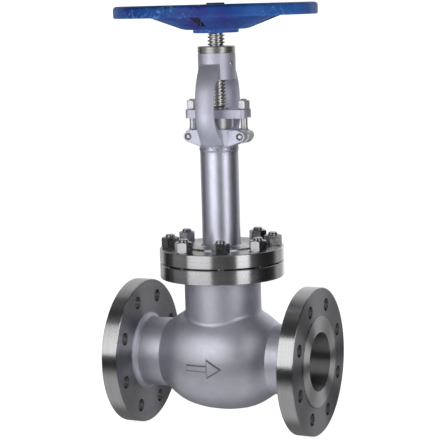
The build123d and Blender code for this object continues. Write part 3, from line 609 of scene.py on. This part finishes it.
# ---------------------------------------------------------------- stem
def build_stem():
    """Head, backseat shoulder, main thread, neck in the wheel's hub and threaded top end."""
    cone = BACKSEAT_R - STEM_R
    end_thread_z = WHEEL_HUB_TOP_Z + 1.2
    stem = Shell()
    stem.lathe([(0, HEAD_Z), (STEM_TIP_R, HEAD_Z), (HEAD_R, HEAD_Z + HEAD_EDGE),
                (HEAD_R, HEAD_Z + HEAD_T), (STEM_R, HEAD_Z + HEAD_T), (STEM_R, BACKSEAT_Z - 2 * cone),
                (BACKSEAT_R, BACKSEAT_Z - cone), (BACKSEAT_R, BACKSEAT_Z), (STEM_R, BACKSEAT_Z + cone),
                (STEM_R, THREAD_Z - THREAD_RUNOUT), (THREAD_ROOT_R, THREAD_Z)])
    stem.thread(THREAD_Z, WHEEL_HUB_Z, THREAD_PITCH, THREAD_CREST_R, THREAD_ROOT_R,
                crest=0.30, flank=0.17)
    stem.lathe([(THREAD_ROOT_R, WHEEL_HUB_Z), (STEM_NECK_R, WHEEL_HUB_Z + 0.2),
                (STEM_NECK_R, WHEEL_HUB_TOP_Z - 1.0), (STEM_END_R, WHEEL_HUB_TOP_Z),
                (STEM_END_ROOT_R + 0.1, WHEEL_HUB_TOP_Z + 1.0), (STEM_END_ROOT_R + 0.1, end_thread_z)])
    stem.thread(end_thread_z, STEM_TOP_Z - 1.5, STEM_END_PITCH, STEM_END_R - RUN_GAP, STEM_END_ROOT_R)
    stem.lathe([(STEM_END_ROOT_R, STEM_TOP_Z - 1.5), (STEM_TIP_R + 0.5, STEM_TOP_Z - 0.5),
                (STEM_TIP_R, STEM_TOP_Z), (0, STEM_TOP_Z)])
    made = piece("stem_turned", stem, "spindle", STEM_BRIGHT, ["stem"])
    paint_zones(made.data, (PAINT,), lambda centre, normal: int(centre.z > WHEEL_HUB_TOP_Z + 1.0))


build_stem()


# ---------------------------------------------------------------- yoke bushing and its set screw
def build_bushing():
    """Collar with a shallow groove round it, on the spigot inside the yoke's boss."""
    groove_z, groove_top_z, groove_depth = 534.2, 535.6, 0.6
    edge_r = BUSHING_R - BUSHING_EDGE
    groove_r = BUSHING_R - groove_depth
    bushing = Shell()
    bushing.lathe([(BUSHING_BORE_R, YOKE_BOSS_Z), (BUSHING_SPIGOT_R, YOKE_BOSS_Z),
                   (BUSHING_SPIGOT_R, YOKE_BOSS_TOP_Z), (edge_r, YOKE_BOSS_TOP_Z),
                   (edge_r, YOKE_BOSS_TOP_Z + 1.2), (BUSHING_R, YOKE_BOSS_TOP_Z + 1.8),
                   (BUSHING_R, groove_z), (groove_r, groove_z + 0.3), (groove_r, groove_top_z - 0.3),
                   (BUSHING_R, groove_top_z), (BUSHING_R, BUSHING_TOP_Z - BUSHING_EDGE),
                   (edge_r, BUSHING_TOP_Z), (BUSHING_BORE_R + 3.95, BUSHING_TOP_Z),
                   (BUSHING_BORE_R + 1.65, BUSHING_TOP_Z - 1.1), (BUSHING_BORE_R, BUSHING_TOP_Z - 1.5)],
                  count=120, close=True)
    piece("bushing_turned", bushing, "valve", BUSHING, ["yoke_bushing"], bevel=0.15)


def build_set_screw():
    """Screw through the side of the boss, with a rounded end and a small socket."""
    turn = math.radians(SET_SCREW_TURN_DEG)
    out = Vector((math.cos(turn), math.sin(turn), 0.0))
    aside = Vector((-math.sin(turn), math.cos(turn), 0.0))
    up = Vector((0.0, 0.0, 1.0))
    start = Vector((STEM_X, 0.0, SET_SCREW_Z))
    socket_r = 1.5
    outline = [(0, SET_SCREW_IN), (SET_SCREW_R - 0.6, SET_SCREW_IN), (SET_SCREW_R, SET_SCREW_IN + 0.6),
               (SET_SCREW_R, SET_SCREW_OUT - 1.0), (SET_SCREW_R - 0.4, SET_SCREW_OUT - 0.3),
               (SET_SCREW_R - 1.1, SET_SCREW_OUT), (socket_r + 0.2, SET_SCREW_OUT),
               (socket_r, SET_SCREW_OUT - 0.3), (socket_r, SET_SCREW_OUT - 1.4),
               (0, SET_SCREW_OUT - 1.6)]
    screw = Shell()
    screw.rings([[tuple(start + reach * out + r * (math.cos(a) * aside + math.sin(a) * up))
                  for a in round_steps(36)] for r, reach in outline])
    piece("set_screw_turned", screw, "valve", FASTENER_BRIGHT, ["bushing_set_screw"])


build_bushing()
build_set_screw()


# ---------------------------------------------------------------- bonnet studs and nuts
def build_bonnet_fasteners():
    """Eight studs, threaded above the nuts, and their nuts."""
    count = len(STUD_NUT_TURNS_DEG)
    thread_z = STUD_TOP_Z - 7.4
    thread_top_z = STUD_TOP_Z - 1.3
    studs = Shell()
    nuts = Shell()
    for k, own_turn in enumerate(STUD_NUT_TURNS_DEG):
        angle = math.tau * (k + 0.5) / count
        centre = (STEM_X + STUD_CIRCLE_R * math.cos(angle), STUD_CIRCLE_R * math.sin(angle))
        studs.lathe([(0, STUD_END_Z), (STUD_R - 1.0, STUD_END_Z), (STUD_R, STUD_END_Z + 1.0),
                     (STUD_R, thread_z - 1.3), (STUD_ROOT_R, thread_z)], 36, centre)
        studs.thread(thread_z, thread_top_z, STUD_PITCH, STUD_R - RUN_GAP, STUD_ROOT_R, 36, centre)
        studs.lathe([(STUD_ROOT_R, thread_top_z), (STUD_ROOT_R - 0.2, STUD_TOP_Z - 0.5),
                     (STUD_ROOT_R - 1.3, STUD_TOP_Z), (0, STUD_TOP_Z)], 36, centre)
        nuts.hexagon(BONNET_FLANGE_TOP_Z + FACE_GAP, STUD_NUT_H - 2 * FACE_GAP, STUD_NUT_AF, STUD_R,
                     STUD_NUT_CHAMFER, centre, angle + math.radians(own_turn))
    piece("studs_threaded", studs, "valve", STUD_DARK, ["bonnet_studs"])
    piece("nuts_chamfered", nuts, "valve", FASTENER_DARK, ["bonnet_nuts"], bevel=0.35)


build_bonnet_fasteners()


# ---------------------------------------------------------------- swing bolts and their nuts
def build_swing_bolt(side, centre, body):
    """Eye round the pin and a shank that is threaded at its upper end."""
    bore_r = PIN_R + RUN_GAP
    thread_z = BOLT_TOP_Z - 24.5
    thread_top_z = BOLT_TOP_Z - 1.1
    half_eye = [(bore_r, EYE_HALF_T - 0.5), (bore_r + 0.5, EYE_HALF_T), (EYE_R - 0.8, EYE_HALF_T),
                (EYE_R, EYE_HALF_T - 0.8)]
    eye = [(r, -y) for r, y in half_eye] + half_eye[::-1]
    bolt = Shell()
    bolt.rings([[(centre[0] + r * math.cos(a), y, PIN_Z + r * math.sin(a)) for a in round_steps(64)]
                for r, y in eye], close=True)
    bolt.lathe([(0, PIN_Z + 8.0), (8.2, PIN_Z + 8.0), (7.4, PIN_Z + 11.2), (6.5, PIN_Z + 13.5),
                (BOLT_R, PIN_Z + 16.0), (BOLT_R, thread_z - 1.0), (BOLT_ROOT_R, thread_z)], 40, centre)
    bolt.thread(thread_z, thread_top_z, BOLT_PITCH, BOLT_R - RUN_GAP, BOLT_ROOT_R, 40, centre)
    bolt.lathe([(BOLT_ROOT_R, thread_top_z), (BOLT_ROOT_R - 0.2, BOLT_TOP_Z - 0.4),
                (BOLT_ROOT_R - 0.8, BOLT_TOP_Z), (0, BOLT_TOP_Z)], 40, centre)
    piece("swing_bolt_" + side + "_forged", bolt, body, FASTENER_BRIGHT,
          ["eyebolt_" + side])


def build_gland_nut(side, centre):
    gland_nut = Shell()
    gland_nut.hexagon(GLAND_NUT_Z + FACE_GAP, GLAND_NUT_H - 2 * FACE_GAP, GLAND_NUT_AF,
                      BOLT_R + RUN_GAP, GLAND_NUT_CHAMFER, centre)
    piece("gland_nut_" + side + "_chamfered", gland_nut, side + "_gland_nut", FASTENER_BRIGHT,
          ["gland_nut_" + side], bevel=0.3)


for side, x, body in (("left", -PIN_X, "swing_bolt_left"), ("right", PIN_X, "swing_bolt_right")):
    build_swing_bolt(side, (STEM_X + x, 0.0), body)
    build_gland_nut(side, (STEM_X + x, 0.0))


# ---------------------------------------------------------------- handwheel
def web_z(r):
    """Height of the web's underside: flat by the hub, then a rising cone."""
    return WEB_Z + max(0.0, r - WEB_FLAT_R) * WEB_RISE


def slot_rows():
    """(radius, half angle) down one side of a slot, with its rounded corners."""
    bends = [math.radians(bend) for bend in (0, 30, 60, 90)]
    inner = [(SLOT_IN_R + SLOT_CORNER_R * (1 - math.cos(bend)), bend) for bend in bends]
    outer = [(SLOT_OUT_R - SLOT_CORNER_R * (1 - math.cos(bend)), bend) for bend in bends[::-1]]
    corners = [[(r, SLOT_HALF - SLOT_CORNER_R * (1 - math.sin(bend)) / r) for r, bend in corner]
               for corner in (inner, outer)]
    return corners[0] + [(r, SLOT_HALF) for r in SLOT_SIDE_R] + corners[1]


def arc_rows(centre_r, centre_z, radius, start_deg, end_deg, steps):
    """Section points along an arc."""
    angles = [math.radians(start_deg + (end_deg - start_deg) * k / steps) for k in range(steps + 1)]
    return [(centre_r + radius * math.cos(a), centre_z + radius * math.sin(a), None) for a in angles]


def wheel_outline():
    """Closed (radius, z, slot half angle or None) section of the handwheel."""
    web_top_z = WEB_Z + WEB_T
    channel_z = RIM_TOP_Z - RIM_WALL - CHANNEL_ROUND
    hub = [(STEM_NECK_R, WHEEL_HUB_Z), (WHEEL_HUB_R - 1.4, WHEEL_HUB_Z),
           (WHEEL_HUB_R - 0.4, WHEEL_HUB_Z + 0.4), (WHEEL_HUB_R, WHEEL_HUB_Z + 1.4),
           (WHEEL_HUB_R, WEB_Z - 1.5), (WHEEL_HUB_R + 0.7, WEB_Z - 0.4),
           (WHEEL_HUB_R + 2.2, WEB_Z), (WEB_IN_R, WEB_Z)]
    inner_lip = [(WEB_OUT_R, web_z(WEB_OUT_R)), (RIM_IN_R - 0.6, RIM_LIP_Z + 4.4),
                 (RIM_IN_R, RIM_LIP_Z + 3.0), (RIM_IN_R + 0.2, RIM_LIP_Z + 1.0),
                 (RIM_IN_R + 1.6, RIM_LIP_Z), (RIM_IN_R + 3.4, RIM_LIP_Z + 0.4),
                 (RIM_IN_R + RIM_WALL, RIM_LIP_Z + 2.0)]
    outer_lip = [(WHEEL_R - RIM_WALL, RIM_Z + 2.5), (WHEEL_R - 3.6, RIM_Z + 0.7),
                 (WHEEL_R - 2.3, RIM_Z), (WHEEL_R - 0.9, RIM_Z + 0.5), (WHEEL_R - 0.1, RIM_Z + 2.1),
                 (WHEEL_R, RIM_Z + 5.0), (WHEEL_R, RIM_Z + 11.0)]
    web_top_end = [(RIM_IN_R - 0.8, web_z(WEB_OUT_R) + 5.0), (WEB_OUT_R - 0.5, web_z(WEB_OUT_R) + 3.9)]
    sleeve = [(WEB_IN_R, web_top_z), (WHEEL_SLEEVE_R + 4.0, web_top_z),
              (WHEEL_SLEEVE_R + 1.6, web_top_z + 0.6), (WHEEL_SLEEVE_R + 0.2, web_top_z + 2.4),
              (WHEEL_SLEEVE_R, web_top_z + 5.0), (WHEEL_SLEEVE_R, WHEEL_HUB_TOP_Z - 1.5),
              (WHEEL_SLEEVE_R - 1.2, WHEEL_HUB_TOP_Z), (STEM_NECK_R, WHEEL_HUB_TOP_Z)]
    rows = [(r, z, None) for r, z in hub]
    rows += [(r, web_z(r), half) for r, half in slot_rows()]
    rows += [(r, z, None) for r, z in inner_lip]
    rows += arc_rows(RIM_IN_R + RIM_WALL + CHANNEL_ROUND, channel_z, CHANNEL_ROUND, 180, 90, 3)
    rows += arc_rows(WHEEL_R - RIM_WALL - CHANNEL_ROUND, channel_z, CHANNEL_ROUND, 90, 0, 3)
    rows += [(r, z, None) for r, z in outer_lip]
    rows += arc_rows(WHEEL_R - RIM_SHOULDER, RIM_TOP_Z - RIM_SHOULDER, RIM_SHOULDER, 0, 90, 6)
    rows += [(RIM_CROWN_R, RIM_TOP_Z, None)]
    rows += arc_rows(RIM_IN_R + RIM_ROUND, RIM_TOP_Z - RIM_ROUND, RIM_ROUND, 90, 160, 4)
    rows += [(r, z, None) for r, z in web_top_end]
    rows += [(r, web_z(r) + WEB_T, half) for r, half in reversed(slot_rows())]
    rows += [(r, z, None) for r, z in sleeve]
    return rows


def wheel_dent(r, z, angle):
    """How far a rim point moves inwards and down: slight unevenness of the pressed rim, and two
    nicks in its top."""
    if r < WEB_OUT_R or not RIM_Z < z < RIM_TOP_Z + 0.5:
        return 0.0, 0.0
    where = Vector((math.cos(angle), math.sin(angle), z / 80.0)) * 7.0
    dip = RIM_DIP * (0.5 + 0.5 * noise.noise(where)) if r > WHEEL_R - 4.5 else 0.0
    drop = 0.0
    if z > RIM_TOP_Z - 4.5 and r > RIM_CROWN_R:
        for nick in NICK_ANGLES_DEG:
            off = abs((math.degrees(angle) - nick + 180) % 360 - 180)
            drop += NICK_DEPTH * max(0.0, 1 - off / NICK_HALF_DEG)
        drop += RIM_DROP * (0.5 + 0.5 * noise.noise(where * 0.6))
    return dip, drop


def wheel_points(outline):
    """One ring of points for each outline row. In every sector, the first column runs down the
    middle of a slot, and the next and the last follow the slots' sides."""
    points = []
    for r, z, half in outline:
        edge = SLOT_HALF if half is None else half
        for sector in range(SLOT_COUNT):
            for step in range(SECTOR_COLUMNS):
                angle = SLOT_TURN + sector * math.tau / SLOT_COUNT
                if step:
                    share = (step - 1) / (SECTOR_COLUMNS - 2)
                    angle += edge + (math.tau / SLOT_COUNT - 2 * edge) * share
                dip, drop = wheel_dent(r, z, angle)
                points.append((STEM_X + (r - dip) * math.cos(angle), (r - dip) * math.sin(angle),
                               z - drop))
    return points


def wheel_faces(outline):
    """Skin of the wheel with its slots left open, and the walls inside the slots."""
    columns = SLOT_COUNT * SECTOR_COLUMNS
    slotted = [i for i, row in enumerate(outline) if row[2] is not None]
    half_count = len(slotted) // 2
    bottom_rows, top_rows = slotted[:half_count], slotted[half_count:][::-1]
    open_pairs = set(zip(bottom_rows, bottom_rows[1:])) | set(zip(top_rows[1:], top_rows))

    def quad(*corners):
        """Face through four (row, column) points."""
        return tuple(row * columns + column for row, column in corners)

    faces = []
    for i in range(len(outline)):
        n = (i + 1) % len(outline)
        for j in range(columns):
            k = (j + 1) % columns
            in_slot = j % SECTOR_COLUMNS in (0, SECTOR_COLUMNS - 1)
            if not (in_slot and (i, n) in open_pairs):
                faces.append(quad((i, j), (i, k), (n, k), (n, j)))
    for sector in range(SLOT_COUNT):
        middle = sector * SECTOR_COLUMNS
        before = (middle - 1) % columns
        after = middle + 1
        for low_a, low_b, high_a, high_b in zip(bottom_rows, bottom_rows[1:], top_rows, top_rows[1:]):
            for col in (before, after):
                faces.append(quad((low_a, col), (low_b, col), (high_b, col), (high_a, col)))
        for low, high in ((bottom_rows[0], top_rows[0]), (bottom_rows[-1], top_rows[-1])):
            for a, b in ((before, middle), (middle, after)):
                faces.append(quad((low, a), (low, b), (high, b), (high, a)))
    return faces


def wheel_zone(centre, normal):
    """The dish's hollow side and the channel under the rim get a much darker, less glossy paint, and
    the web's underside a slightly darker one: both are painted shade."""
    painted_shade, web = 1, 2
    r = math.hypot(centre.x - STEM_X, centre.y)
    hollow = WHEEL_SLEEVE_R + 1.0 < r < RIM_IN_R - 1.5 and normal.z > 0.5
    channel = RIM_IN_R + 4.5 < r < WHEEL_R - 4.3 and centre.z < RIM_TOP_Z - 3.0
    if hollow or channel:
        return painted_shade
    return web if 50.0 < r < RIM_IN_R - 1.0 and normal.z < -0.5 else 0


def build_handwheel():
    outline = wheel_outline()
    wheel = Shell()
    wheel.points = wheel_points(outline)
    wheel.faces = wheel_faces(outline)
    made = piece("handwheel_pressed", wheel, "spindle", PAINT, ["handwheel"], sharp=40.0)
    paint_zones(made.data, (PAINT_SHADED_INSIDE, PAINT_WEB_SHADED), wheel_zone)
    # The wheel leaves no blue reflection in the bare metal.
    made.visible_glossy = False


build_handwheel()

# ---------------------------------------------------------------- stage
STAGE_R = 14.0
AXIS_X = STEM_X * MM
FLOOR_Z = body_lo.z


def stage_object(name, mesh):
    made = bpy.data.objects.new(name, mesh)
    bpy.context.scene.collection.objects.link(made)
    return made


def build_floor():
    """Round, pale floor that glows, so that it is nearly as bright as the backdrop."""
    mesh = bpy.data.meshes.new("floor")
    edge = [(AXIS_X + STAGE_R * math.cos(a), STAGE_R * math.sin(a), FLOOR_Z) for a in round_steps(96)]
    mesh.from_pydata(edge, [], [tuple(range(len(edge)))])
    material, t, where = new_material("floor_pale")
    haze = t.noise(where, scale=0.8)
    pale = t.mix(t.remap(haze, (0.3, 0.7)), (0.86, 0.86, 0.865, 1), (0.90, 0.90, 0.905, 1))
    t.principled(Base_Color=pale, Roughness=0.7, Emission_Color=WHITE, Emission_Strength=0.85)
    material.cycles.emission_sampling = "NONE"
    mesh.materials.append(material)
    made = stage_object("floor", mesh)
    made.visible_glossy = False
    return made


def build_backdrop():
    """White sphere that only the camera sees."""
    mesh = bpy.data.meshes.new("backdrop")
    sphere = bmesh.new()
    bmesh.ops.create_uvsphere(sphere, u_segments=48, v_segments=24, radius=STAGE_R)
    bmesh.ops.translate(sphere, verts=sphere.verts, vec=(AXIS_X, 0, FLOOR_Z))
    sphere.to_mesh(mesh)
    sphere.free()
    material, t, _ = new_material("backdrop_pale")
    t.glow(1.15)
    material.cycles.emission_sampling = "NONE"
    mesh.materials.append(material)
    made = stage_object("backdrop", mesh)
    for ray in ("visible_glossy", "visible_diffuse", "visible_shadow", "visible_transmission"):
        setattr(made, ray, False)
    return made


floor = build_floor()
dome = build_backdrop()


# ---------------------------------------------------------------- light
def build_world():
    """Dim studio: a glow from below, two large soft patches behind and a weak one overhead.
    Azimuth is 0 towards the front of the valve and grows towards its outlet; angles are in degrees."""
    world = bpy.data.worlds.new("studio")
    bpy.context.scene.world = world
    world.use_nodes = True
    t = Tree(world.node_tree)
    x, y, z = t.axes(t("ShaderNodeTexCoord").outputs["Generated"])
    azimuth = t.math("ARCTAN2", x, t.times(y, -1.0))
    height = t.math("ARCSINE", z)

    def step(value, low, high, result=(0.0, 1.0)):
        return t.remap(value, (low * DEG, high * DEG), result)

    def patch(middle, half_width, low, high, soft, strength):
        """Soft-edged bright rectangle of sky."""
        off = t("ShaderNodeMath", [t.minus(azimuth, middle * DEG), math.pi, -math.pi],
                operation="WRAP").outputs[0]
        side = step(t.absolute(off), half_width - soft, half_width + soft, (1.0, 0.0))
        under = step(height, low - soft, low + soft)
        over = step(height, high - soft, high + soft, (1.0, 0.0))
        return t.times(t.times(side, t.times(under, over)), strength)

    glow_below = t.times(step(height, -34, -14, (0.55, 0.04)), t.remap(y, (-0.15, 0.25), (1.0, 0.35)))
    behind_left = patch(middle=-150, half_width=38, low=-20, high=60, soft=8, strength=0.55)
    behind_right = patch(middle=170, half_width=30, low=-20, high=60, soft=8, strength=0.50)
    overhead = step(height, 60, 80, (0.0, 0.25))
    total = t.plus(t.plus(t.plus(glow_below, behind_left), behind_right), overhead)
    backing = t("ShaderNodeBackground", [WHITE, total])
    t("ShaderNodeOutputWorld", [backing.outputs[0]])


CARD_DISTANCE = 0.80
CARD_LOW_Z = 0.03
CARD_HIGH_Z = 0.75


def light_card(name, azimuth_deg, half_width, strength):
    """Upright glowing panel facing the stem, seen only in reflections and as light."""
    azimuth = azimuth_deg * DEG
    out = Vector((math.sin(azimuth), -math.cos(azimuth), 0.0))
    aside = Vector((math.cos(azimuth), math.sin(azimuth), 0.0))
    middle = Vector((AXIS_X, 0.0, 0.0)) + CARD_DISTANCE * out
    left = middle - half_width * aside
    right = middle + half_width * aside
    points = [(left.x, left.y, CARD_LOW_Z), (right.x, right.y, CARD_LOW_Z),
              (right.x, right.y, CARD_HIGH_Z), (left.x, left.y, CARD_HIGH_Z)]
    mesh = bpy.data.meshes.new(name)
    mesh.from_pydata(points, [], [(0, 1, 2, 3)])
    material, t, _ = new_material(name)
    t.glow(strength)
    mesh.materials.append(material)
    card = stage_object(name, mesh)
    card.visible_camera = False


build_world()
light_card("softbox_left", azimuth_deg=-17, half_width=0.32, strength=1.75)
light_card("softbox_far_left", azimuth_deg=-58, half_width=0.20, strength=0.30)
light_card("softbox_right", azimuth_deg=60, half_width=0.16, strength=2.3)

# ---------------------------------------------------------------- camera
CAMERA_TARGET = Vector((0.1763, -0.0008, 0.2394))
CAMERA_DISTANCE = 2.749
CAMERA_AZIMUTH = math.radians(24.06)
CAMERA_ELEVATION = math.radians(7.76)
CAMERA_ROLL = math.radians(-1.56)
CAMERA_LENS = 129.74
CAMERA_SENSOR = 36.0


def build_camera():
    back = Vector((math.sin(CAMERA_AZIMUTH) * math.cos(CAMERA_ELEVATION),
                   -math.cos(CAMERA_AZIMUTH) * math.cos(CAMERA_ELEVATION),
                   math.sin(CAMERA_ELEVATION)))
    right = Vector((0, 0, 1)).cross(back).normalized()
    up = back.cross(right)
    x_axis = math.cos(CAMERA_ROLL) * right + math.sin(CAMERA_ROLL) * up
    y_axis = -math.sin(CAMERA_ROLL) * right + math.cos(CAMERA_ROLL) * up
    data = bpy.data.cameras.new("camera")
    data.sensor_width = CAMERA_SENSOR
    data.lens = CAMERA_LENS
    camera = bpy.data.objects.new("camera", data)
    bpy.context.scene.collection.objects.link(camera)
    place = Matrix((x_axis, y_axis, back)).transposed().to_4x4()
    place.translation = CAMERA_TARGET + CAMERA_DISTANCE * back
    camera.matrix_world = place
    bpy.context.scene.camera = camera


build_camera()
bpy.context.scene.view_settings.view_transform = "Standard"
